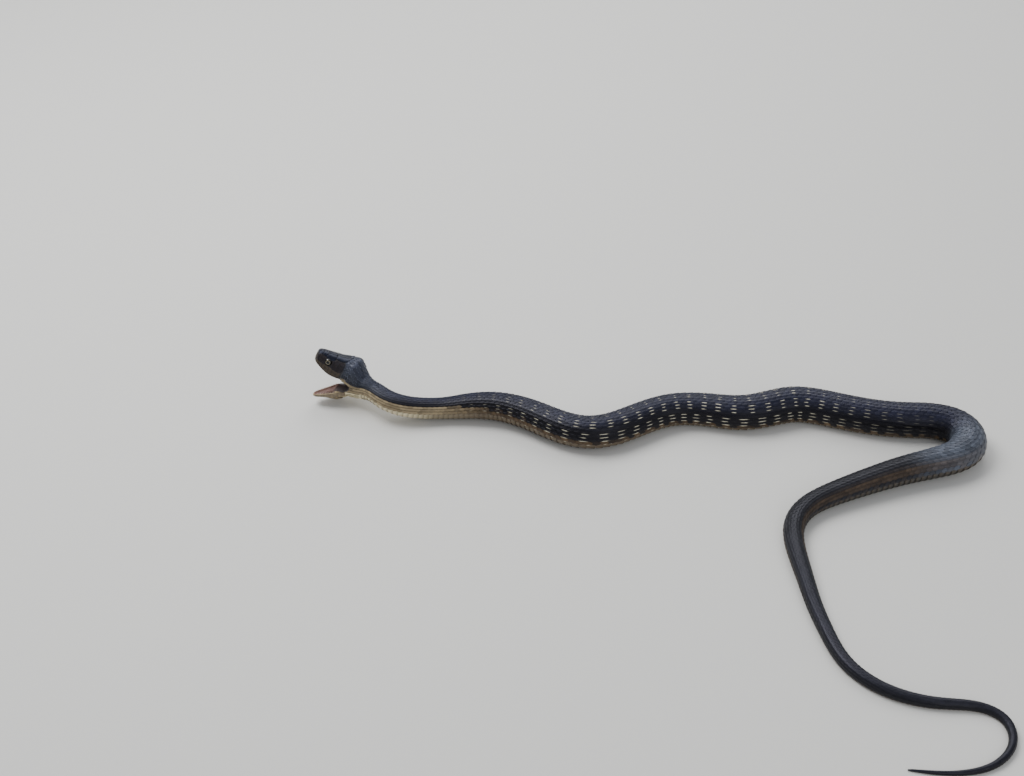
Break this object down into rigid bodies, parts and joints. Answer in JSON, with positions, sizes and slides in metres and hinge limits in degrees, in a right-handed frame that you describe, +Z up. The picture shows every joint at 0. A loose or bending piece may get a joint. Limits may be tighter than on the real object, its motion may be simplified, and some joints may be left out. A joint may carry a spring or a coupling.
{
  "type": "garter snake model",
  "caption": "Life-size still model of a large garter snake lying in open bends, mouth agape, slate back with rows of short cream dashes.",
  "frame": {"origin": "middle of the snake's box on the plan, on the floor", "axes": "+Z up, the head at the -X end, +Y to the far side in the picture"},
  "size_m": [0.4774, 0.3432, 0.0413],
  "materials": {
    "head_skin": "smooth horny shields, slate with a slight sheen",
    "jaw_skin": "cream-tan scales, satin",
    "body_skin": "keeled slate scales with cream dashes, satin",
    "tail_skin": "keeled grey scales, satin",
    "eye": "clear glossy spectacle over a dark iris"
  },
  "bodies": {
    "root": {"head": "head_skin", "lower_jaw": "jaw_skin", "neck": "body_skin", "eye_left": "eye", "eye_right": "eye", "trunk_1": "body_skin", "trunk_2": "body_skin", "trunk_3": "body_skin", "trunk_4": "body_skin", "trunk_5": "body_skin", "trunk_6": "body_skin", "trunk_7": "body_skin", "trunk_8": "body_skin", "tail_1": "tail_skin", "tail_2": "tail_skin", "tail_3": "tail_skin"}
  },
  "joints": []
}
